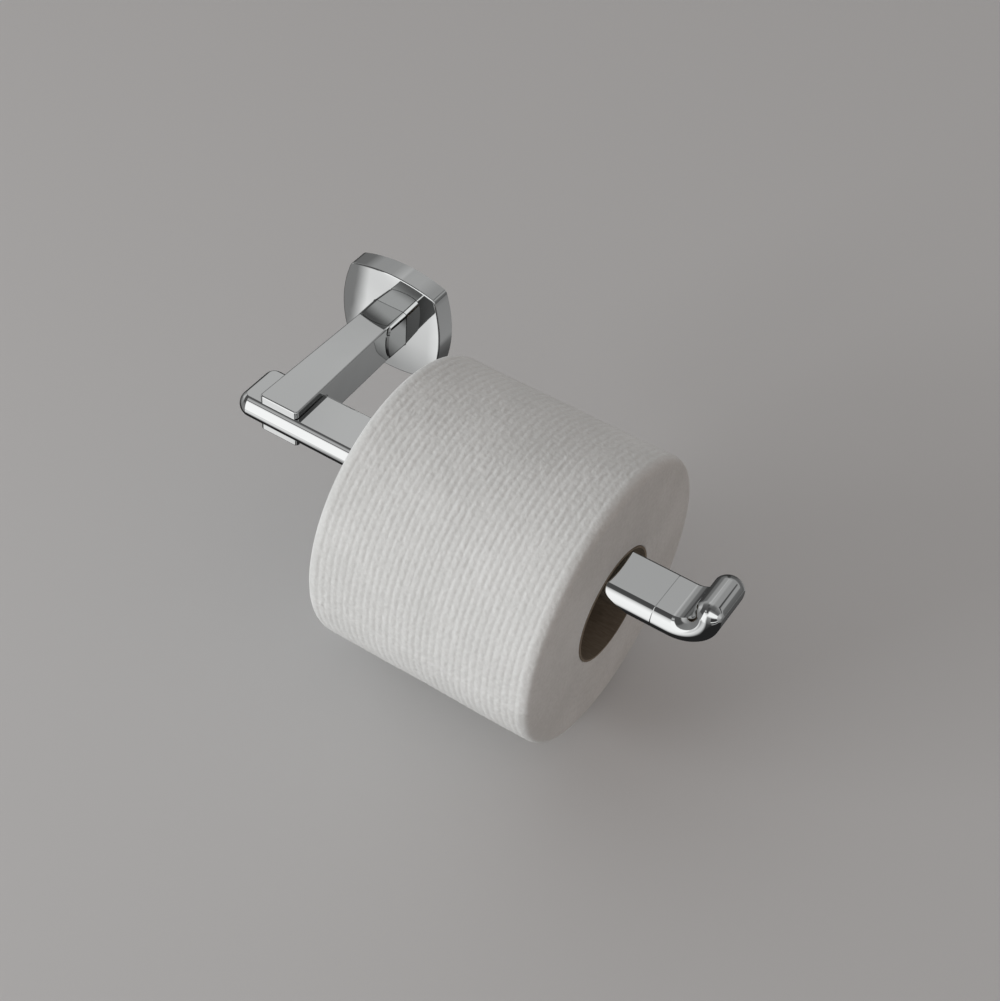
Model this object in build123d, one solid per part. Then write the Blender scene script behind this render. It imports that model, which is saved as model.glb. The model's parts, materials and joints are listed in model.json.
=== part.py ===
from build123d import *
import math
import os

# Pivoting toilet paper holder with a roll on it.
# Frame: the wall is the plane Y = 0 and the holder stands out from it along -Y. +Z is up and
# +X runs along the bar towards its turned-up end. The origin is the centre of the flange on the wall.
# All sizes are in millimetres.

# ---- flange ----
FLANGE_HALF = 25.4            # half width at the middle of a side
FLANGE_CORNER = 21.5          # where two side arcs would meet
FLANGE_CORNER_RADIUS = 3.2
RIM_DEPTH = 9.6               # wall to the crease around the front face
DOME_RISE = 0.9               # how far the domed front face stands past the crease
SHELL = 1.4
OPENING_GAP = 0.12            # around the post
CREASE_ROUND = 0.6

# ---- wall bracket, behind the flange ----
BRACKET_HALF = 16.5
BRACKET_CORNER = 3.0
PLATE = 2.0
LIP = 1.8
LIP_DEPTH = 5.5
LIP_HALF = 10.0
WALL_SCREW_RADIUS = 2.3
WALL_SCREW_X = 11.5
NUT_HOLE_RADIUS = 7.4

# ---- post ----
FOOT_HALF = 19.5
FOOT_CORNER = 3.4
FOOT_WALL = 2.5
FOOT_DEPTH = 8.2
FOOT_WEB = 2.2
WALL_GAP = 0.3                # the foot stands just clear of the wall
POST_HALF_X = (8.75, 8.5)     # at the flange, at the pivot
POST_HALF_Z = 9.2
POST_EDGE = 2.1
DOME_RADIUS = 20.0            # ball-shaped front end of the post
DOME_CENTRE = 5.0             # its centre, out from the wall
SEAT_FLAT = 24.1              # small flat on the front of the ball
PIVOT_GAP = 0.3

# ---- pivot ----
SHAFT_RADIUS = 3.5
SHAFT_CLEARANCE = 0.4         # around the shaft, between the bushings
THREAD_RADIUS = 2.5
FIT = 0.03                    # radial running clearance in the bushings
BUSH_RADIUS = 4.6
BUSH_LENGTH = 5.0
BUSH_PROUD = 0.1              # the front bushing stands out of the ball
BUSH_RELIEF_RADIUS = 6.0      # recess in the arm, around the front bushing
BUSH_RELIEF = 0.2
REAR_FLANGE_RADIUS = 6.2
REAR_FLANGE = 0.7
SHAFT_FRONT = 52.0
SHAFT_STEP = 5.2
SHAFT_REAR = 0.6
SHAFT_FLAT = 0.8              # depth of the flat for the lock screw
SHAFT_FLAT_LENGTH = 20.0
NUT_RADIUS = 4.6              # across the corners
WASHER_RADIUS = 6.4
WASHER = 0.7
SPRING_RADIUS = 5.6
SPRING_HEIGHT = 0.95
SPRING_SHEET = 0.45
BORE_GAP = 0.02               # washers and nut on the thread
ACCESS_GAP = 0.3              # of the hole for reaching the flange's screw
STACK_GAP = 0.05
STOP_PIN_RADIUS = 0.75
STOP_PIN_CIRCLE = 5.9
STOP_PIN_ANGLE = 135          # around the pivot, from +X towards +Z
PIVOT_RANGE = 90
STOP_CLEARANCE = 0.1
STOP_PIN_SPAN = (19.5, 26.2)  # out from the wall
STOP_GROOVE_END = 26.8

# ---- arm ----
ARM_REAR = 20.0               # plan outline starts here, before the ball seat is cut
ARM_FRONT = 87.7
ARM_HALF_X = (7.6, 9.4)       # at the pivot, at the front
ARM_HALF_Z = 9.25
ARM_EDGE = 0.7
ARM_CORNER = 1.6              # the two upright edges at the front
JAW_RELIEF = 0.45             # the jaw stands this far off the bar's faces near the arm's sides
JAW_RELIEF_WIDTH = 0.9        # and this far in from the sides

# ---- bar and hook: a flat strip with a bulged edge all the way round ----
BAR_Y = -78.25                # centre line
STRIP = 11.2                  # thickness
CREASE_HALF = 9.3             # the flat faces reach this far each way
BULGE = 3.2                   # the edge stands this far past the creases
EDGE_SOFTENING = 0.35
END_CORNER = 2.4              # corner radius of the flat face
BAR_WALL = 1.6
BAR_LEFT = -17.1              # end of the flat face
SEAM_X = 175.1
SEAM_GAP = (0.45, 0.5)         # groove all round the joint with the bar: width, depth
BEND_START = 182.2
BEND_RADIUS = 8.0             # inside

# ---- screws ----
SCREW_RADIUS = 2.0
SCREW_HOLE_RADIUS = 2.1
SCREW_HEAD_RADIUS = 3.6
SCREW_HEAD = 2.0
SCREW_SINK = 0.2              # heads lie this far under the arm's face
SCREW_SPACING = 9.0
SCREW_GRIP = 4.0              # thread in the insert
SCREW_SOCKET = (1.4, 1.6)     # radius across the corners, depth
GRUB_SOCKET = (1.15, 2.0)
GRUB_INSET = 0.6              # grub screws end this far inside the surface
FLANGE_SCREW_DEPTH = 4.0      # out from the wall
LOCK_SCREW_DEPTH = 42.0

# ---- fastenings in the bar ----
INSERT_HALF_X = 8.0
INSERT_CLEARANCE = 0.4
PLUG_LENGTH = 14.0
STUD_RADIUS = 3.0
STUD_REACH = 9.0              # each way from the seam
DOWEL_RADIUS = 1.0
DOWEL_REACH = 4.0
DOWEL_Y = 6.5

# ---- roll ----
ROLL_WIDTH = 101.6
ROLL_RIGHT = 154.6
ROLL_RADIUS = 61.9
CORE_INNER = 24.0
CORE_WALL = 0.9
ROLL_REST_GAP = 0.3           # core to the bar's creases

HALF_STRIP = STRIP / 2
REST_REACH = CORE_INNER - ROLL_REST_GAP
ROLL_Z = HALF_STRIP - math.sqrt(REST_REACH**2 - CREASE_HALF**2)

TOUCH = 0.01                  # two coordinates this close are the same one
MIDWAY = 0.5                  # of an edge's length
STEEP = 0.9                   # share of its direction an edge that leaves the wall has along Y
OUT = Plane.XZ                # local x is +X, local y is +Z, and it extrudes away from the wall


def at(depth):
    """The plane parallel to the wall, that far out from it."""
    return OUT.offset(depth)


def post_tube(outer, inner, start, end):
    """A ring or disc around the pivot axis, between two distances from the wall."""
    solid = extrude(at(start) * Circle(outer), end - start)
    if inner:
        solid -= extrude(at(start) * Circle(inner), end - start)
    return solid


def block(x_range, y_range, z_range):
    """A box given by its limits."""
    size = [high - low for low, high in (x_range, y_range, z_range)]
    centre = [(high + low) / 2 for low, high in (x_range, y_range, z_range)]
    return Pos(*centre) * Box(*size)


def tapered_outline(half_widths, start, end):
    """Plan of a bar that leaves the wall: its half widths at two distances from the wall."""
    near, far = half_widths
    return Polygon((-near, -start), (near, -start), (far, -end), (-far, -end), align=None)


def leaves_wall(edge):
    """Whether an edge runs away from the wall rather than level with it."""
    return abs(edge.tangent_at(MIDWAY).Y) > STEEP


def post_rectangle(depth, half_x, half_z, corner):
    return at(depth) * RectangleRounded(2 * half_x, 2 * half_z, corner)


# ---------------------------------------------------------------- wall side

def pillow(depth, middle, corner, radius):
    """A square outline whose four sides bow outwards."""
    corners = [(corner, corner), (-corner, corner), (-corner, -corner), (corner, -corner)]
    middles = [(0, middle), (-middle, 0), (0, -middle), (middle, 0)]
    sides = []
    for index in range(4):
        start, end = corners[index], corners[(index + 1) % 4]
        sides.append(ThreePointArc(start, middles[index], end))
    face = make_face(sides)
    return at(depth) * fillet(face.vertices(), radius)


def flange():
    """Shell with square sides that bow out, and a front face domed like part of a large sphere."""
    front = RIM_DEPTH + DOME_RISE
    crown_radius = (FLANGE_HALF**2 + DOME_RISE**2) / (2 * DOME_RISE)
    body = extrude(pillow(0, FLANGE_HALF, FLANGE_CORNER, FLANGE_CORNER_RADIUS), front)
    body &= Pos(0, crown_radius - front, 0) * Sphere(crown_radius)
    crease = [edge for edge in body.edges() if edge.center().Y < -RIM_DEPTH / 2 and edge.length > TOUCH]
    level = [edge for edge in crease if not leaves_wall(edge)]
    body = fillet(level, CREASE_ROUND)
    inside = (FLANGE_HALF - SHELL, FLANGE_CORNER - SHELL, FLANGE_CORNER_RADIUS - SHELL)
    hollow = extrude(pillow(0, *inside), FOOT_DEPTH)
    opening_x = POST_HALF_X[0] + OPENING_GAP
    opening_z = POST_HALF_Z + OPENING_GAP
    opening = extrude(post_rectangle(0, opening_x, opening_z, POST_EDGE), 2 * RIM_DEPTH)
    access = Pos(0, -FLANGE_SCREW_DEPTH, -FLANGE_HALF) * Cylinder(SCREW_RADIUS + ACCESS_GAP, 4 * SHELL)
    return body - hollow - opening - access


def wall_bracket():
    plate = extrude(post_rectangle(0, BRACKET_HALF, BRACKET_HALF, BRACKET_CORNER), PLATE)
    for side in (-1, 1):
        low, high = sorted((side * BRACKET_HALF, side * (BRACKET_HALF - LIP)))
        plate += block((-LIP_HALF, LIP_HALF), (-LIP_DEPTH, -PLATE / 2), (low, high))
        plate -= post_tube(WALL_SCREW_RADIUS, 0, 0, PLATE).moved(Pos(side * WALL_SCREW_X, 0, 0))
    return plate - post_tube(NUT_HOLE_RADIUS, 0, 0, PLATE)


def grub_screw(depth, low, high):
    """Upright headless screw with a hexagon socket in its lower end."""
    radius, socket_depth = GRUB_SOCKET
    body = Pos(0, -depth, (low + high) / 2) * Cylinder(SCREW_RADIUS, high - low)
    return body - Pos(0, -depth, low) * extrude(RegularPolygon(radius, 6), socket_depth)


def flange_set_screw():
    """Up through the rim and the foot, against the bracket's lower lip."""
    return grub_screw(FLANGE_SCREW_DEPTH, -FLANGE_HALF + GRUB_INSET, -BRACKET_HALF)


def ball():
    return Pos(0, -DOME_CENTRE, 0)


def post():
    """Hollow square foot, then a slightly tapered neck with a ball-shaped front end."""
    outline = post_rectangle(WALL_GAP, FOOT_HALF, FOOT_HALF, FOOT_CORNER)
    foot = extrude(outline, FOOT_DEPTH - WALL_GAP)
    web = FOOT_DEPTH - FOOT_WEB
    cavity = FOOT_HALF - FOOT_WALL
    foot -= block((-cavity, cavity), (-web, 0), (-cavity, BRACKET_HALF))
    ball_front = DOME_CENTRE + DOME_RADIUS
    neck = extrude(tapered_outline(POST_HALF_X, FOOT_DEPTH, ball_front), POST_HALF_Z, both=True)
    long_edges = [edge for edge in neck.edges() if leaves_wall(edge)]
    neck = fillet(long_edges, POST_EDGE) & ball() * Sphere(DOME_RADIUS)
    body = foot + neck
    body -= post_tube(DOME_RADIUS, 0, SEAT_FLAT, ball_front)
    body -= post_tube(SHAFT_RADIUS + SHAFT_CLEARANCE, 0, 0, ball_front)
    body -= post_tube(BUSH_RADIUS, 0, SEAT_FLAT - BUSH_LENGTH, ball_front)
    body -= post_tube(BUSH_RADIUS, 0, 0, web + BUSH_LENGTH)
    body -= Pos(0, -FLANGE_SCREW_DEPTH, -FOOT_HALF) * Cylinder(SCREW_RADIUS, 3 * FOOT_WALL)
    return body - stop_pin()


def pin_position():
    angle = math.radians(STOP_PIN_ANGLE)
    return Pos(STOP_PIN_CIRCLE * math.cos(angle), 0, STOP_PIN_CIRCLE * math.sin(angle))


def stop_pin():
    return pin_position() * post_tube(STOP_PIN_RADIUS, 0, *STOP_PIN_SPAN)


def front_bushing():
    start, end = SEAT_FLAT - BUSH_LENGTH, SEAT_FLAT + BUSH_PROUD
    return post_tube(BUSH_RADIUS, SHAFT_RADIUS + FIT, start, end)


def rear_bushing():
    web = FOOT_DEPTH - FOOT_WEB
    sleeve = post_tube(BUSH_RADIUS, SHAFT_RADIUS + FIT, web, web + BUSH_LENGTH)
    collar = post_tube(REAR_FLANGE_RADIUS, SHAFT_RADIUS + FIT, web - REAR_FLANGE, web)
    return sleeve + collar


# ---------------------------------------------------------------- pivot, on the arm

def pivot_shaft():
    journal = post_tube(SHAFT_RADIUS, 0, SHAFT_STEP, SHAFT_FRONT)
    thread = post_tube(THREAD_RADIUS, 0, SHAFT_REAR, SHAFT_STEP)
    reach = 2 * SHAFT_RADIUS
    flat = block(
        (-reach, reach),
        (-SHAFT_FRONT, SHAFT_FLAT_LENGTH - SHAFT_FRONT),
        (-reach, SHAFT_FLAT - SHAFT_RADIUS),
    )
    return journal + thread - flat


THRUST_SPAN = (SHAFT_STEP - STACK_GAP - WASHER, SHAFT_STEP - STACK_GAP)
SPRING_SPAN = (THRUST_SPAN[0] - SPRING_HEIGHT, THRUST_SPAN[0])
NUT_SPAN = (SHAFT_REAR + 2 * STACK_GAP, SPRING_SPAN[0])
WASHER_BORE = THREAD_RADIUS + BORE_GAP


def thrust_washer():
    return post_tube(WASHER_RADIUS, WASHER_BORE, *THRUST_SPAN)


def disc_spring():
    """Conical spring washer."""
    low, high = SPRING_SPAN
    profile = Polygon(
        (WASHER_BORE, low), (WASHER_BORE, low + SPRING_SHEET),
        (SPRING_RADIUS, high), (SPRING_RADIUS, high - SPRING_SHEET),
        align=None,
    )
    # drawn as radius against distance from the wall, then turned to lie around the pivot
    return revolve(Plane(origin=(0, 0, 0), x_dir=(1, 0, 0), z_dir=(0, 0, -1)) * profile, Axis.Y)


def lock_nut():
    low, high = NUT_SPAN
    nut = extrude(at(low) * RegularPolygon(NUT_RADIUS, 6, major_radius=True), high - low)
    return nut - post_tube(WASHER_BORE, 0, low, high)


def shaft_lock_screw():
    """From below, on the shaft's flat."""
    return grub_screw(LOCK_SCREW_DEPTH, GRUB_INSET - ARM_HALF_Z, SHAFT_FLAT - SHAFT_RADIUS)


# ---------------------------------------------------------------- bar and hook

def strip_profile(half_width, half_thickness, bulge, softening):
    """Cross-section: two flat faces joined by two bulged edges. Local x runs across the strip."""
    corners = [
        (half_width, -half_thickness), (half_width, half_thickness),
        (-half_width, half_thickness), (-half_width, -half_thickness),
    ]
    face = make_face([
        Line(corners[3], corners[0]),
        ThreePointArc(corners[0], (half_width + bulge, 0), corners[1]),
        Line(corners[1], corners[2]),
        ThreePointArc(corners[2], (-half_width - bulge, 0), corners[3]),
    ])
    return fillet(face.vertices(), softening) if softening else face


def half_profile(reach, softening):
    """The same edge, from the line x = 0 out to the bulge."""
    face = make_face([
        Line((0, -HALF_STRIP), (reach, -HALF_STRIP)),
        ThreePointArc((reach, -HALF_STRIP), (reach + BULGE, 0), (reach, HALF_STRIP)),
        Line((reach, HALF_STRIP), (0, HALF_STRIP)),
        Line((0, HALF_STRIP), (0, -HALF_STRIP)),
    ])
    outer = [vertex for vertex in face.vertices() if vertex.X > reach / 2]
    return fillet(outer, softening)


def strip_end():
    """Closed end of the strip. It points along local +X and starts at x = 0, with z through it."""
    side = CREASE_HALF - END_CORNER
    edge = half_profile(END_CORNER, EDGE_SOFTENING)
    # profile x along +X, profile y along +Z
    upright = Plane(origin=(0, 0, 0), x_dir=(1, 0, 0), z_dir=(0, -1, 0))
    end = Pos(0, side, 0) * extrude(upright * edge, 2 * side)
    corner = revolve(upright * edge, Axis.Z, 90)
    end += Pos(0, side, 0) * corner
    end += Pos(0, -side, 0) * Rot(0, 0, -90) * corner
    return end


ACROSS = Plane.YZ             # local x is +Y, local y is +Z, and it extrudes along +X


def strip_section(x):
    face = strip_profile(CREASE_HALF, HALF_STRIP, BULGE, EDGE_SOFTENING)
    return Pos(x, BAR_Y, 0) * (ACROSS * face)


def hollow_profile(clearance):
    """Cross-section of the space in the strip, less a clearance on the bulged edges."""
    side = CREASE_HALF - BAR_WALL / 4 - clearance
    return strip_profile(side, HALF_STRIP - BAR_WALL, BULGE - BAR_WALL / 2 - clearance / 4, 0)


def bar_hollow():
    """The space inside the bar, open at the seam."""
    inner = hollow_profile(0)
    start = BAR_LEFT + END_CORNER
    return extrude(Pos(start, BAR_Y, 0) * (ACROSS * inner), SEAM_X - start)


def bar_screw_positions():
    return [Pos(0, BAR_Y + side * SCREW_SPACING / 2, 0) for side in (-1, 1)]


def bar():
    start = BAR_LEFT + END_CORNER
    body = extrude(strip_section(start), SEAM_X - start)
    body += Pos(start, BAR_Y, 0) * Rot(0, 0, 180) * strip_end()
    body -= bar_hollow()
    for place in bar_screw_positions():
        body -= place * screw_passage()
    return body


def screw_passage():
    """Clearance hole through the lower wall of the bar and the jaw under it."""
    return Pos(0, 0, -HALF_STRIP) * Cylinder(SCREW_HOLE_RADIUS, 2.5 * BAR_WALL)


def bar_insert():
    """Threaded block inside the bar, over the arm."""
    face = ACROSS * hollow_profile(INSERT_CLEARANCE)
    body = extrude(Pos(-INSERT_HALF_X, BAR_Y, 0) * face, 2 * INSERT_HALF_X)
    for place in bar_screw_positions():
        body -= place * Pos(0, 0, BAR_WALL - HALF_STRIP) * Cylinder(SCREW_RADIUS, 2 * SCREW_GRIP)
    return body


def bar_screws():
    """Two countersunk screws, from under the arm into the insert."""
    bottom = SCREW_SINK - ARM_HALF_Z
    top = BAR_WALL - HALF_STRIP + SCREW_GRIP
    head = Pos(0, 0, bottom + SCREW_HEAD / 2) * Cone(SCREW_HEAD_RADIUS, SCREW_RADIUS, SCREW_HEAD)
    shank_low = bottom + SCREW_HEAD
    shank = Pos(0, 0, (shank_low + top) / 2) * Cylinder(SCREW_RADIUS, top - shank_low)
    socket_radius, socket_depth = SCREW_SOCKET
    socket = Pos(0, 0, bottom) * extrude(RegularPolygon(socket_radius, 6), socket_depth)
    screw = head + shank - socket
    return Compound(children=[place * screw for place in bar_screw_positions()])


def hook_stud():
    return Pos(SEAM_X, BAR_Y, 0) * Rot(0, 90, 0) * Cylinder(STUD_RADIUS, 2 * STUD_REACH)


def dowel_pins():
    pin = Rot(0, 90, 0) * Cylinder(DOWEL_RADIUS, 2 * DOWEL_REACH)
    return Compound(children=[Pos(SEAM_X, BAR_Y + side * DOWEL_Y, 0) * pin for side in (-1, 1)])


def seam_gap():
    """What the groove takes off the root of the hook."""
    width, depth = SEAM_GAP
    root = strip_profile(CREASE_HALF, HALF_STRIP - depth, BULGE - depth, 0)
    around = Pos(SEAM_X + width / 2, BAR_Y, 0) * Box(width, 4 * CREASE_HALF, 2 * STRIP)
    return around - extrude(Pos(SEAM_X, BAR_Y, 0) * (ACROSS * root), width)


def seam_bores(body):
    body -= hook_stud()
    for pin in dowel_pins().solids():
        body -= pin
    return body


def bar_plug():
    """Plug pressed into the open end of the bar, bored for the stud and the dowels."""
    reach = 2 * CREASE_HALF
    end = block((SEAM_X - PLUG_LENGTH, SEAM_X), (BAR_Y - reach, BAR_Y + reach), (-STRIP, STRIP))
    return seam_bores(bar_hollow() & end)


def hook_end():
    """The strip turns up through a right angle and closes in a rounded tip."""
    axis_z = HALF_STRIP + BEND_RADIUS
    body = extrude(strip_section(SEAM_X), BEND_START - SEAM_X)
    turn = Axis((BEND_START, BAR_Y, axis_z), (0, -1, 0))
    body += revolve(strip_section(BEND_START), turn, 90)
    body += Pos(BEND_START + axis_z, BAR_Y, axis_z) * Rot(0, -90, 0) * strip_end()
    return seam_bores(body - seam_gap())


# ---------------------------------------------------------------- arm

def pin_groove():
    """Arc that the stop pin runs in: the arm turns past the pin through the pivot's range."""
    spread = math.degrees(STOP_CLEARANCE / STOP_PIN_CIRCLE)
    first = STOP_PIN_ANGLE - PIVOT_RANGE - spread
    last = STOP_PIN_ANGLE + spread
    half = STOP_PIN_RADIUS + STOP_CLEARANCE
    track = post_tube(STOP_PIN_CIRCLE + half, STOP_PIN_CIRCLE - half, ARM_REAR, STOP_GROOVE_END)
    reach = 3 * STOP_PIN_CIRCLE
    wedge = make_face(Polyline(
        (0, 0),
        *[(reach * math.cos(math.radians(a)), reach * math.sin(math.radians(a)))
          for a in (first, (first + last) / 2, last)],
        (0, 0),
    ))
    groove = track & extrude(at(ARM_REAR) * wedge, STOP_GROOVE_END - ARM_REAR)
    for angle in (first, last):
        turned = math.radians(angle)
        end = Pos(STOP_PIN_CIRCLE * math.cos(turned), 0, STOP_PIN_CIRCLE * math.sin(turned))
        groove += end * post_tube(half, 0, ARM_REAR, STOP_GROOVE_END)
    return groove


def jaw_relief():
    """Shadow gap around the bar at both of its ways out of the arm."""
    profile = strip_profile(CREASE_HALF, HALF_STRIP + JAW_RELIEF, BULGE + JAW_RELIEF, EDGE_SOFTENING)
    inner = ARM_HALF_X[1] - JAW_RELIEF_WIDTH
    reach = extrude(Pos(-2 * inner, BAR_Y, 0) * (ACROSS * profile), 4 * inner)
    return reach - block((-inner, inner), (2 * BAR_Y, 0), (-STRIP, STRIP))


def arm():
    """Tapered bar of rectangular section. Its back seats over the post and its front grips the bar."""
    outline = tapered_outline(ARM_HALF_X, ARM_REAR, ARM_FRONT)
    front = [vertex for vertex in outline.vertices() if vertex.Y < TOUCH - ARM_FRONT]
    body = extrude(fillet(front, ARM_CORNER), ARM_HALF_Z, both=True)
    level = [
        edge for edge in body.edges()
        if abs(edge.center().Z) > ARM_HALF_Z - TOUCH and edge.center().Y < -ARM_REAR - TOUCH
    ]
    body = fillet(level, ARM_EDGE)
    body -= ball() * Sphere(DOME_RADIUS + PIVOT_GAP)
    body -= post_tube(BUSH_RELIEF_RADIUS, 0, ARM_REAR, SEAT_FLAT + BUSH_RELIEF)
    body -= post_tube(SHAFT_RADIUS, 0, ARM_REAR, SHAFT_FRONT)
    body -= pin_groove()
    body -= extrude(strip_section(2 * BAR_LEFT), 4 * abs(BAR_LEFT))
    body -= jaw_relief()
    lock_hole = 2 * (ARM_HALF_Z - SHAFT_RADIUS + SHAFT_FLAT)
    body -= Pos(0, -LOCK_SCREW_DEPTH, -ARM_HALF_Z) * Cylinder(SCREW_RADIUS, lock_hole)
    countersink = Cone(SCREW_HEAD_RADIUS, SCREW_RADIUS, SCREW_HEAD)
    for place in bar_screw_positions():
        body -= place * Pos(0, 0, SCREW_SINK / 2 - ARM_HALF_Z) * Cylinder(SCREW_HEAD_RADIUS, SCREW_SINK)
        body -= place * Pos(0, 0, SCREW_SINK + SCREW_HEAD / 2 - ARM_HALF_Z) * countersink
        body -= place * screw_passage()
    return body


# ---------------------------------------------------------------- roll

def roll_ring(outer, inner):
    ring = Circle(outer) - Circle(inner)
    return extrude(Pos(ROLL_RIGHT - ROLL_WIDTH, BAR_Y, ROLL_Z) * (ACROSS * ring), ROLL_WIDTH)


def cardboard_core():
    return roll_ring(CORE_INNER + CORE_WALL, CORE_INNER)


def paper_roll():
    return roll_ring(ROLL_RADIUS, CORE_INNER + CORE_WALL)


NODES = {
    "wall_bracket": wall_bracket,
    "flange": flange,
    "flange_set_screw": flange_set_screw,
    "post": post,
    "front_bushing": front_bushing,
    "rear_bushing": rear_bushing,
    "stop_pin": stop_pin,
    "pivot_shaft": pivot_shaft,
    "thrust_washer": thrust_washer,
    "disc_spring": disc_spring,
    "lock_nut": lock_nut,
    "shaft_lock_screw": shaft_lock_screw,
    "arm": arm,
    "bar": bar,
    "bar_insert": bar_insert,
    "bar_screws": bar_screws,
    "bar_plug": bar_plug,
    "hook_stud": hook_stud,
    "dowel_pins": dowel_pins,
    "hook_end": hook_end,
    "cardboard_core": cardboard_core,
    "paper_roll": paper_roll,
}

os.makedirs("parts", exist_ok=True)
for name, make in NODES.items():
    export_step(make(), f"parts/{name}.step")
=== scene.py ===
import json
import math

import bpy
import numpy as np
from mathutils import Matrix, Vector


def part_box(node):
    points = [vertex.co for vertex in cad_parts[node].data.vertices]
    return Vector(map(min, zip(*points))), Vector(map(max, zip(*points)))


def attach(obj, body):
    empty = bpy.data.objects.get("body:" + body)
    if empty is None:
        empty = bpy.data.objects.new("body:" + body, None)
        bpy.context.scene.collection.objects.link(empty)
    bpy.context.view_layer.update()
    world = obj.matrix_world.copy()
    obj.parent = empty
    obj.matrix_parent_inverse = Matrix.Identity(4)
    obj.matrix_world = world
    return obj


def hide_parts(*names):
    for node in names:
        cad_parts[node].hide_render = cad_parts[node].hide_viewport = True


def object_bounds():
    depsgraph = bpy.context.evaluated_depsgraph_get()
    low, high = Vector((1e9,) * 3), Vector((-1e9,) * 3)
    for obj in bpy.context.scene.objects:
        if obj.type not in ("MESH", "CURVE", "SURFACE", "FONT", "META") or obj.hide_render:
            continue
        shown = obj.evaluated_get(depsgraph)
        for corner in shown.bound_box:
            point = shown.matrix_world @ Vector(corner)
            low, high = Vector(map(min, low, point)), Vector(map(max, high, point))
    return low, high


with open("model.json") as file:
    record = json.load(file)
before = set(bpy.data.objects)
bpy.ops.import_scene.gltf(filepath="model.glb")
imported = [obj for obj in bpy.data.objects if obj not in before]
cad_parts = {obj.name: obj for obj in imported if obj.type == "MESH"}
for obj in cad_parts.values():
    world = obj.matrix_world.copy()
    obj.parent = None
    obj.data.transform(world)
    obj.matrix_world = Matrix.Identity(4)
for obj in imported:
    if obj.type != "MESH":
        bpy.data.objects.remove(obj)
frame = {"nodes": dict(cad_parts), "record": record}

# Pivoting toilet paper holder with a roll on it. Metres. +X along the bar, +Y into the wall, +Z up.

MM = 0.001
SEED = 20
FULL_TURN = 2 * math.pi
cad_low, cad_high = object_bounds()
MIDDLE = (cad_low + cad_high) / 2

# ---------------------------------------------------------------- camera

AZIMUTH = 29.47
ELEVATION = 45.74
TILT = 5.05                          # the camera leans this much, anticlockwise
DISTANCE = 701.4 * MM                # to the middle of the object
OFF_CENTRE = (7.55 * MM, 6.63 * MM)  # right and up of the middle
LENS = 63.05
SENSOR = 36.0
CLIP_START = 10 * MM


def aim_camera():
    azimuth, elevation, tilt = (math.radians(a) for a in (AZIMUTH, ELEVATION, TILT))
    forward = Vector((
        -math.sin(azimuth) * math.cos(elevation),
        math.cos(azimuth) * math.cos(elevation),
        -math.sin(elevation),
    ))
    level = forward.cross(Vector((0, 0, 1))).normalized()
    upright = level.cross(forward)
    right = level * math.cos(tilt) + upright * math.sin(tilt)
    up = right.cross(forward)
    target = MIDDLE + right * OFF_CENTRE[0] + up * OFF_CENTRE[1]
    place = target - forward * DISTANCE
    data = bpy.data.cameras.new("camera")
    data.sensor_width = SENSOR
    data.lens = LENS
    data.clip_start = CLIP_START
    camera = bpy.data.objects.new("camera", data)
    turn = Matrix((right, up, -forward)).transposed().to_4x4()
    camera.matrix_world = Matrix.Translation(place) @ turn
    bpy.context.scene.collection.objects.link(camera)
    bpy.context.scene.camera = camera


# ---------------------------------------------------------------- node helpers

MIX_FACTOR, MIX_FIRST, MIX_SECOND, MIX_RESULT = 0, 6, 7, 2   # a colour Mix node's sockets


def feed(tree, value, socket):
    """Gives an input its value: another socket, a colour or a number."""
    if isinstance(value, bpy.types.NodeSocket):
        tree.links.new(value, socket)
    elif isinstance(value, tuple):
        socket.default_value = (*value, 1)
    else:
        socket.default_value = value


def mix_colours(tree, factor, first, second):
    node = tree.nodes.new("ShaderNodeMix")
    node.data_type = "RGBA"
    feed(tree, factor, node.inputs[MIX_FACTOR])
    feed(tree, first, node.inputs[MIX_FIRST])
    feed(tree, second, node.inputs[MIX_SECOND])
    return node.outputs[MIX_RESULT]


def calculate(tree, operation, *values):
    node = tree.nodes.new("ShaderNodeMath")
    node.operation = operation
    for value, socket in zip(values, node.inputs):
        feed(tree, value, socket)
    return node.outputs[0]


def spread(tree, value, source, onto):
    """Maps the range `source` onto the range `onto`, and stops at its ends."""
    node = tree.nodes.new("ShaderNodeMapRange")
    node.inputs["From Min"].default_value, node.inputs["From Max"].default_value = source
    node.inputs["To Min"].default_value, node.inputs["To Max"].default_value = onto
    feed(tree, value, node.inputs["Value"])
    return node.outputs[0]


def split_place(tree, kind):
    """The X, Y and Z outputs of a texture coordinate."""
    place = tree.nodes.new("ShaderNodeTexCoord")
    split = tree.nodes.new("ShaderNodeSeparateXYZ")
    feed(tree, place.outputs[kind], split.inputs[0])
    return split.outputs


def noise(tree, scale, detail, roughness=0.55, stretch=(1, 1, 1)):
    """Noise in object coordinates, which `stretch` multiplies along X, Y and Z."""
    place = tree.nodes.new("ShaderNodeTexCoord")
    mapping = tree.nodes.new("ShaderNodeMapping")
    mapping.inputs["Scale"].default_value = stretch
    feed(tree, place.outputs["Object"], mapping.inputs["Vector"])
    texture = tree.nodes.new("ShaderNodeTexNoise")
    texture.inputs["Scale"].default_value = scale
    texture.inputs["Detail"].default_value = detail
    texture.inputs["Roughness"].default_value = roughness
    feed(tree, mapping.outputs["Vector"], texture.inputs["Vector"])
    return texture.outputs["Fac"]


def bump(tree, height, strength, distance):
    node = tree.nodes.new("ShaderNodeBump")
    node.inputs["Strength"].default_value = strength
    node.inputs["Distance"].default_value = distance
    feed(tree, height, node.inputs["Height"])
    return node.outputs["Normal"]


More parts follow.
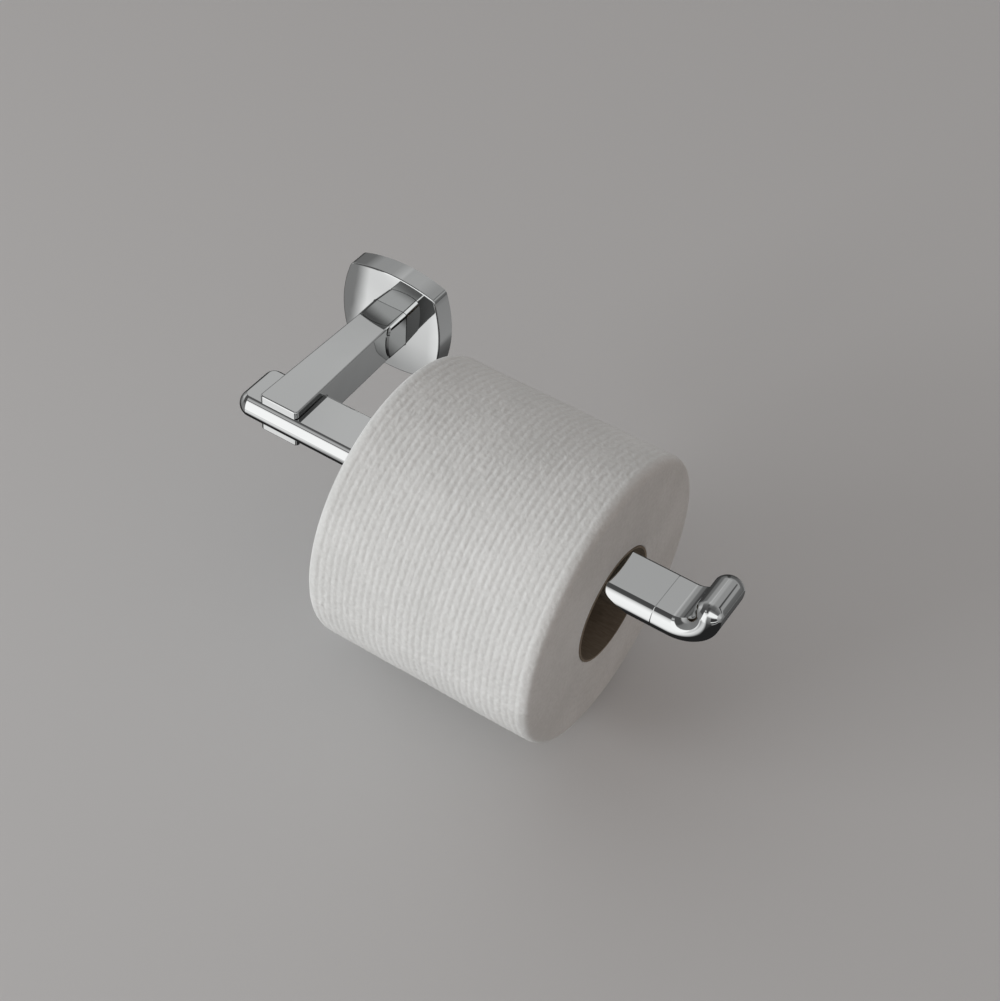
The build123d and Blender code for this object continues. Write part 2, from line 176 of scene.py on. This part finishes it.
def new_material(name, inputs):
    """A material, its node tree and its shader, with these inputs of the shader set."""
    material = bpy.data.materials.new(name)
    material.use_nodes = True
    tree = material.node_tree
    shader = tree.nodes["Principled BSDF"]
    for key, value in inputs.items():
        feed(tree, value, shader.inputs[key])
    return material, tree, shader


# ---------------------------------------------------------------- light and stage

# The studio as polished metal sees it, in zones from its left to its right. A zone is given by the
# sideways direction over which it blends into the next one, and by its brightness at several angles
# above the front horizon, in degrees: 90 is overhead, -90 is straight down, 180 is behind.
FAR_SIDE = [(-180, 0.20), (-100, 0.12), (-20, 0.30), (60, 0.60), (110, 0.40), (180, 0.20)]
STUDIO = [
    ((-0.90, -0.84), FAR_SIDE),
    ((-0.525, -0.495), [
        (-180, 0.06), (-150, 0.05), (-115, 0.02), (-75, 0.02), (-66, 0.20), (-30, 0.24),
        (0, 0.20), (12, 0.08), (60, 0.08), (100, 0.14), (128, 0.33), (145, 0.33), (152, 0.17),
        (172, 0.14), (180, 0.06),
    ]),
    ((-0.455, -0.435), [
        (-180, 0.04), (-120, 0.02), (-71, 0.02), (-65, 0.42), (-56, 0.78), (-48, 0.92),
        (-40, 0.78), (-38, 0.80), (-35, 1.15), (24, 1.15), (31, 0.90), (33, 0.13), (37, 0.13),
        (39, 0.50), (44, 0.50), (46, 0.45), (51, 0.43), (53, 0.10), (105, 0.10), (113, 0.40),
        (124, 0.48), (133, 0.50), (136, 0.34), (143, 0.33), (150, 0.06), (180, 0.04),
    ]),
    ((-0.345, -0.318), [
        (-180, 0.04), (-120, 0.02), (-71, 0.02), (-65, 0.38), (-54, 0.37), (-46, 0.70),
        (-38, 0.80), (-35, 1.15), (24, 1.15), (31, 0.90), (33, 0.13), (37, 0.13), (39, 0.50),
        (44, 0.50), (46, 0.45), (51, 0.43), (53, 0.10), (105, 0.10), (113, 0.42), (124, 0.51),
        (133, 0.53), (136, 0.34), (143, 0.33), (150, 0.06), (180, 0.04),
    ]),
    ((-0.14, 0.02), [
        (-180, 0.10), (-140, 0.02), (-62, 0.02), (-53, 0.62), (-46, 0.92), (-34, 1.08),
        (10, 1.15), (24, 0.95), (34, 0.60), (39, 0.08), (76, 0.06), (102, 0.20), (112, 0.40),
        (124, 0.44), (132, 0.42), (139, 0.34), (146, 0.30), (154, 0.12), (180, 0.10),
    ]),
    ((0.36, 0.43), [
        (-180, 0.12), (-165, 0.20), (-155, 0.27), (-138, 0.26), (-131, 0.08), (-120, 0.02),
        (-56, 0.02), (-44, 0.10), (-20, 0.18), (10, 0.30), (24, 1.10), (52, 1.10), (60, 0.20),
        (76, 0.10), (105, 0.15), (124, 0.32), (148, 0.32), (155, 0.15), (180, 0.12),
    ]),
    ((0.84, 0.90), [
        (-180, 0.13), (-164, 0.10), (-156, 0.26), (-136, 0.28), (-134, 0.26), (-131, 0.19),
        (-118, 0.02), (-57, 0.02), (-52, 0.38), (-47.5, 0.42), (-45.5, 0.02), (-33, 0.02),
        (-30, 0.90), (-24, 0.90), (-20, 0.04), (10, 0.04), (24, 1.10), (52, 1.10), (60, 0.20),
        (76, 0.12), (105, 0.20), (124, 0.32), (127, 0.32), (129, 0.03), (136, 0.03), (139, 0.34),
        (150, 0.34), (156, 0.15), (180, 0.13),
    ]),
    (None, FAR_SIDE),
]
SOFT_LEFT = (0.53, 0.54, 0.545)      # the studio as matt surfaces see it
SOFT_RIGHT = (0.275, 0.229, 0.205)
SOFT_RANGE = (-0.6, 0.7)             # sideways directions between which the one becomes the other

KEY_PLACE = (-0.80, -1.25, 0.24)
KEY_SIZE = 0.8
KEY_POWER = 11.9

FLOOR_DROP = 6 * MM                  # floor to the lowest point of the object
FLOOR_HALF = 5.0
FLOOR_GREY = (0.68, 0.68, 0.68)


def brightness_ramp(tree, turn, stops):
    """The brightness of a zone; `turn` is the angle as a share of the way from -180 to 180 degrees."""
    ramp = tree.nodes.new("ShaderNodeValToRGB")
    feed(tree, turn, ramp.inputs["Fac"])
    elements = ramp.color_ramp.elements
    while len(elements) < len(stops):
        elements.new(0.5)
    for element, (angle, level) in zip(elements, stops):
        element.position = (angle + 180) / 360
        element.color = (level, level, level, 1)
    return ramp.outputs["Color"]


def environment():
    """The painted studio for mirror rays, and a soft gradient for everything else."""
    world = bpy.data.worlds.new("studio")
    world.use_nodes = True
    bpy.context.scene.world = world
    tree = world.node_tree
    sideways, inward, upward = split_place(tree, "Generated")
    angle = calculate(tree, "ARCTAN2", upward, calculate(tree, "MULTIPLY", inward, -1.0))
    turn = spread(tree, angle, (-math.pi, math.pi), (0, 1))
    painted = brightness_ramp(tree, turn, STUDIO[0][1])
    for (edge, _), (_, stops) in zip(STUDIO, STUDIO[1:]):
        beyond = spread(tree, sideways, edge, (0, 1))
        painted = mix_colours(tree, beyond, painted, brightness_ramp(tree, turn, stops))
    soft = mix_colours(tree, spread(tree, sideways, SOFT_RANGE, (0, 1)), SOFT_LEFT, SOFT_RIGHT)
    rays = tree.nodes.new("ShaderNodeLightPath")
    seen = mix_colours(tree, rays.outputs["Is Glossy Ray"], soft, painted)
    feed(tree, seen, tree.nodes["Background"].inputs["Color"])


def key_light():
    """A soft box on the left, in front of the wall. Polished metal sees only the painted studio."""
    data = bpy.data.lights.new("key", "AREA")
    data.shape = "RECTANGLE"
    data.size = data.size_y = KEY_SIZE
    data.energy = KEY_POWER
    light = bpy.data.objects.new("key", data)
    light.location = KEY_PLACE
    light.rotation_mode = "QUATERNION"
    light.rotation_quaternion = (MIDDLE - Vector(KEY_PLACE)).to_track_quat("-Z", "Y")
    light.visible_glossy = False
    bpy.context.scene.collection.objects.link(light)


def floor():
    level = cad_low.z - FLOOR_DROP
    low, high = -FLOOR_HALF, FLOOR_HALF
    corners = [(low, low, level), (high, low, level), (high, high, level), (low, high, level)]
    mesh = bpy.data.meshes.new("floor")
    mesh.from_pydata(corners, [], [(0, 1, 2, 3)])
    material, _, _ = new_material("floor", {"Base Color": FLOOR_GREY, "Roughness": 0.8})
    mesh.materials.append(material)
    obj = bpy.data.objects.new("floor", mesh)
    bpy.context.scene.collection.objects.link(obj)
    obj.visible_glossy = False       # polished metal sees the painted studio instead


# ---------------------------------------------------------------- materials

CHROME_COLOURS = (0.79, 0.80, 0.797), (0.76, 0.77, 0.767)
STEEL_COLOUR = (0.60, 0.61, 0.62)
BRASS_COLOUR = (0.74, 0.57, 0.30)
ACETAL_COLOURS = (0.80, 0.80, 0.77), (0.87, 0.87, 0.85)
CARD_COLOURS = (0.19, 0.155, 0.115), (0.33, 0.275, 0.21)
TISSUE_COLOURS = (0.735, 0.745, 0.735), (0.83, 0.84, 0.832)
NOISE_MIDDLE = (0.3, 0.7)            # the range that holds most of a noise's values

STRIP_PITCH = 95 * MM                # the core's wound strip moves on by this in one turn
SEAM_HALF = 0.012                    # half the width of its seam, as a share of the pitch
SEAM_SHADE = 0.7                     # how much darker the seam is


def chrome():
    """Polished plate: faint waviness, fine wiping marks and a few dull smears."""
    material, tree, shader = new_material("chrome", {"Metallic": 1.0})
    clouds = noise(tree, scale=22, detail=3)
    smears = noise(tree, scale=35, detail=5, roughness=0.6, stretch=(1, 6, 3))
    waves = noise(tree, scale=60, detail=1)
    feed(tree, mix_colours(tree, clouds, *CHROME_COLOURS), shader.inputs["Base Color"])
    feed(tree, spread(tree, smears, (0.35, 0.75), (0.02, 0.06)), shader.inputs["Roughness"])
    feed(tree, bump(tree, waves, strength=0.12, distance=0.2 * MM), shader.inputs["Normal"])
    return material


def plain_metal(name, colour, roughness, stretch):
    """Machined or plated metal with turning marks."""
    material, tree, shader = new_material(name, {"Metallic": 1.0})
    marks = noise(tree, scale=700, detail=4, roughness=0.6, stretch=stretch)
    darker = tuple(0.8 * part for part in colour)
    duller = spread(tree, marks, NOISE_MIDDLE, (roughness - 0.07, roughness + 0.1))
    feed(tree, mix_colours(tree, marks, darker, colour), shader.inputs["Base Color"])
    feed(tree, duller, shader.inputs["Roughness"])
    feed(tree, bump(tree, marks, strength=0.25, distance=0.05 * MM), shader.inputs["Normal"])
    return material


def acetal():
    """Off-white plastic with a fine grain."""
    material, tree, shader = new_material("acetal", {})
    grain = noise(tree, scale=900, detail=3)
    feed(tree, mix_colours(tree, grain, *ACETAL_COLOURS), shader.inputs["Base Color"])
    feed(tree, spread(tree, grain, NOISE_MIDDLE, (0.38, 0.5)), shader.inputs["Roughness"])
    feed(tree, bump(tree, grain, strength=0.1, distance=0.05 * MM), shader.inputs["Normal"])
    return material


def blend(tree, first, second, share):
    """`share` of the first value and the rest of the second."""
    return calculate(tree, "ADD", calculate(tree, "MULTIPLY", first, share),
                     calculate(tree, "MULTIPLY", second, 1 - share))


def cardboard(axis_y, axis_z):
    """Brown board wound in a spiral: a dark seam, fibres and faint mottling."""
    material, tree, shader = new_material("card", {"Roughness": 0.85})
    along, across, upward = split_place(tree, "Object")
    angle = calculate(tree, "ARCTAN2", calculate(tree, "SUBTRACT", upward, axis_z),
                      calculate(tree, "SUBTRACT", across, axis_y))
    strips = calculate(tree, "ADD", calculate(tree, "DIVIDE", along, STRIP_PITCH),
                       calculate(tree, "DIVIDE", angle, FULL_TURN))
    wound = calculate(tree, "FRACT", strips)
    off_seam = calculate(tree, "ABSOLUTE", calculate(tree, "SUBTRACT", wound, 0.5))
    seam = spread(tree, off_seam, (0, SEAM_HALF), (1, 0))
    fibres = noise(tree, scale=260, detail=6, roughness=0.65, stretch=(1, 5, 5))
    patches = noise(tree, scale=45, detail=3)
    shade = spread(tree, blend(tree, fibres, patches, 0.6), (0.35, 0.65), (0, 1))
    shade = calculate(tree, "SUBTRACT", shade, calculate(tree, "MULTIPLY", seam, SEAM_SHADE))
    height = calculate(tree, "SUBTRACT", fibres, seam)
    feed(tree, mix_colours(tree, shade, *CARD_COLOURS), shader.inputs["Base Color"])
    feed(tree, bump(tree, height, strength=0.5, distance=0.2 * MM), shader.inputs["Normal"])
    return material


def tissue():
    """Soft white tissue: fine crepe and fibres over the modelled ribs."""
    material, tree, shader = new_material("tissue", {
        "Roughness": 0.95, "Specular IOR Level": 0.2, "Sheen Weight": 0.12, "Sheen Roughness": 0.6,
    })
    crepe = noise(tree, scale=620, detail=5, roughness=0.65)
    clouds = noise(tree, scale=35, detail=3)
    shade = spread(tree, blend(tree, crepe, clouds, 0.5), (0.4, 0.6), (0, 1))
    feed(tree, mix_colours(tree, shade, *TISSUE_COLOURS), shader.inputs["Base Color"])
    feed(tree, bump(tree, crepe, strength=0.6, distance=0.5 * MM), shader.inputs["Normal"])
    return material


# ---------------------------------------------------------------- paper roll

ROUND_STEPS = 720                    # points around the roll
EDGE_ROUND = 4.6 * MM
EDGE_STEPS = 10
HOLE_ROUND = 0.7 * MM
HOLE_STEPS = 6
FACE_RINGS = 46
STEPS_PER_RIB = 9

RIB_PITCH = 3.0 * MM
RIB_HEIGHT = 0.26 * MM
RIB_TOP = 1.25                       # lies on the CAD roll's surface; the crests stay below it
VALLEY_WIDTH = 0.45                  # as a share of half a pitch
RIB_DEPTH = (0.50, 0.34)             # a crest's height where it is lowest, and how much it varies
FLAT_TURN = 0.22                     # the ribs are pressed flatter here, as a share of a turn from +Y
FLAT_SPREAD = 0.09
FLAT_LOSS = 0.5                      # the share of their height that they lose

# noises on the outside: depth, cells along the roll, cells around it
RIB_WAVER = ((0.13, 9, 22), (0.06, 34, 150))    # in pitches
DIMPLES = ((0.62, 105, 420), (0.52, 68, 240))   # in rib heights
SWAY = ((0.54 * MM, 4, 5),)                     # the whole sheet lies slightly unevenly
RIB_CELLS = (34, 130)                           # for the ribs' varying height

LAYER_CELLS = (70, 6)                # the sheet's layers on the end faces, from axis to edge and around
LAYER_DEPTH = 0.22 * MM
FACE_SINK = 0.12 * MM                # keeps them inside the CAD roll

TAIL_TURN = math.radians(186) / FULL_TURN   # where the loose end lies, as a share of a turn from +Y
TAIL_STEP = 0.45 * MM


def smooth_noise(rng, along, turn, cells_along, cells_turn):
    """Values from 0 to 1 over a lattice that closes on itself around the roll."""
    lattice = rng.random((cells_turn, cells_along + 2))
    u = np.clip(along, 0, 1) * cells_along
    v = np.mod(turn, 1.0) * cells_turn
    column, row = np.floor(u).astype(int), np.floor(v).astype(int)
    du, dv = u - column, v - row
    du, dv = du * du * (3 - 2 * du), dv * dv * (3 - 2 * dv)
    row = row % cells_turn
    next_row = (row + 1) % cells_turn
    first = lattice[row, column] * (1 - du) + lattice[row, column + 1] * du
    second = lattice[next_row, column] * (1 - du) + lattice[next_row, column + 1] * du
    return first * (1 - dv) + second * dv


def unevenness(rng, along, turn, layers):
    """Several noises around zero, added up."""
    return sum(depth * (smooth_noise(rng, along, turn, *cells) - 0.5) for depth, *cells in layers)


def roll_profile(inner, outer, left, right):
    """The roll's section, from the hole on the right over the outside to the hole on the left.

    A point is (x, radius, rib share, outward x, outward radius); the rib share is 1 on the outside
    and 0 on the end faces.
    """
    half = []
    for step in range(HOLE_STEPS + 1):
        angle = math.pi / 2 * step / HOLE_STEPS
        half.append((right - HOLE_ROUND * (1 - math.sin(angle)),
                     inner + HOLE_ROUND * (1 - math.cos(angle)),
                     0.0, math.sin(angle), -math.cos(angle)))
    start, end = inner + HOLE_ROUND, outer - EDGE_ROUND
    for ring in range(1, FACE_RINGS):
        half.append((right, start + (end - start) * ring / FACE_RINGS, 0.0, 1.0, 0.0))
    for step in range(EDGE_STEPS + 1):
        angle = math.pi / 2 * step / EDGE_STEPS
        half.append((right - EDGE_ROUND * (1 - math.cos(angle)), end + EDGE_ROUND * math.sin(angle),
                     math.sin(angle) ** 3, math.cos(angle), math.sin(angle)))
    mirrored = [(left + right - x, r, share, -nx, nr) for x, r, share, nx, nr in reversed(half)]
    length = right - left - 2 * EDGE_ROUND
    count = int(length / RIB_PITCH * STEPS_PER_RIB)
    outside = [(right - EDGE_ROUND - length * i / count, outer, 1.0, 0.0, 1.0)
               for i in range(1, count)]
    return np.array(half + outside + mirrored)


def rib_height(rng, x, turn, length):
    """Wavering ribs around the roll, broken by dimples: about 0 in a valley and 1 on a crest."""
    along = x / length
    phase = x / RIB_PITCH + unevenness(rng, along, turn, RIB_WAVER)
    from_valley = 1 - 2 * np.abs(np.mod(phase, 1.0) - 0.5)
    ridge = 1 - np.exp(-(from_valley / VALLEY_WIDTH) ** 2)
    least, varying = RIB_DEPTH
    strength = least + varying * smooth_noise(rng, along, turn, *RIB_CELLS)
    strength *= 1 - FLAT_LOSS * np.exp(-((turn - FLAT_TURN) / FLAT_SPREAD) ** 2)
    return ridge * strength + unevenness(rng, along, turn, DIMPLES)


def roll_points(low, length, outer, inner):
    """The x, radius and turn of the surface's points: a row for each step around the roll."""
    rng = np.random.default_rng(SEED)
    profile = roll_profile(inner, outer, low, low + length)
    turn = np.repeat(np.arange(ROUND_STEPS)[:, None] / ROUND_STEPS, len(profile), axis=1)
    x, radius, share, out_x, out_radius = (np.broadcast_to(values, turn.shape) for values in profile.T)
    ribs = rib_height(rng, x - low, turn, length)
    rise = RIB_HEIGHT * (ribs - RIB_TOP) + unevenness(rng, (x - low) / length, turn, SWAY)
    layers = smooth_noise(rng, np.mod(radius / outer, 1), turn, *LAYER_CELLS) - 0.5
    # the sheet's loose end stands one step above the layer under it, and the step is lost in one turn
    past_tail = np.mod(turn - TAIL_TURN, 1.0)
    radius = radius + share * (out_radius * rise - TAIL_STEP * past_tail)
    x = x + (1 - share) * out_x * (LAYER_DEPTH * layers - FACE_SINK)
    return x, radius, turn


def paper_roll():
    """The wound paper in place of the CAD's plain one. Returns the roll's axis."""
    low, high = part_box("paper_roll")
    core_low, core_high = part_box("cardboard_core")
    axis_y, axis_z = (low.y + high.y) / 2, (low.z + high.z) / 2
    outer, inner = (high.z - low.z) / 2, (core_high.z - core_low.z) / 2
    x, radius, turn = roll_points(low.x, high.x - low.x, outer, inner)
    angle = FULL_TURN * turn
    points = np.stack([x, axis_y + radius * np.cos(angle), axis_z + radius * np.sin(angle)], axis=-1)
    index = np.arange(x.size).reshape(x.shape)
    here, across = index[:, :-1], index[:, 1:]
    next_here, next_across = np.roll(here, -1, axis=0), np.roll(across, -1, axis=0)
    faces = np.stack([here, next_here, next_across, across], axis=-1).reshape(-1, 4)
    mesh = bpy.data.meshes.new("tissue_roll")
    mesh.from_pydata(points.reshape(-1, 3).tolist(), [], faces.tolist())
    mesh.update()
    mesh.shade_smooth()
    mesh.materials.append(tissue())
    obj = bpy.data.objects.new("tissue_roll", mesh)
    bpy.context.scene.collection.objects.link(obj)
    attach(obj, "roll")
    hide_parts("paper_roll")
    obj.visible_glossy = False       # in the photograph, the bar mirrors the roll only faintly
    return axis_y, axis_z


# ---------------------------------------------------------------- the scene

def finish_nodes(axis_y, axis_z):
    """Gives every CAD node the material of its slot. The tissue's node is replaced and gets none."""
    finishes = {
        "chrome": chrome(),
        "steel": plain_metal("steel", STEEL_COLOUR, roughness=0.30, stretch=(1, 1, 8)),
        "brass": plain_metal("brass", BRASS_COLOUR, roughness=0.33, stretch=(8, 1, 1)),
        "acetal": acetal(),
        "card": cardboard(axis_y, axis_z),
    }
    for part in frame["record"]["subparts"]:
        material = finishes.get(part["material_slot"])
        if material is None:
            continue
        mesh = frame["nodes"][part["node"]].data
        if not mesh.materials:
            mesh.materials.append(material)
        for index in range(len(mesh.materials)):
            mesh.materials[index] = material


bpy.context.scene.view_settings.view_transform = "Standard"
aim_camera()
environment()
key_light()
floor()
finish_nodes(*paper_roll())
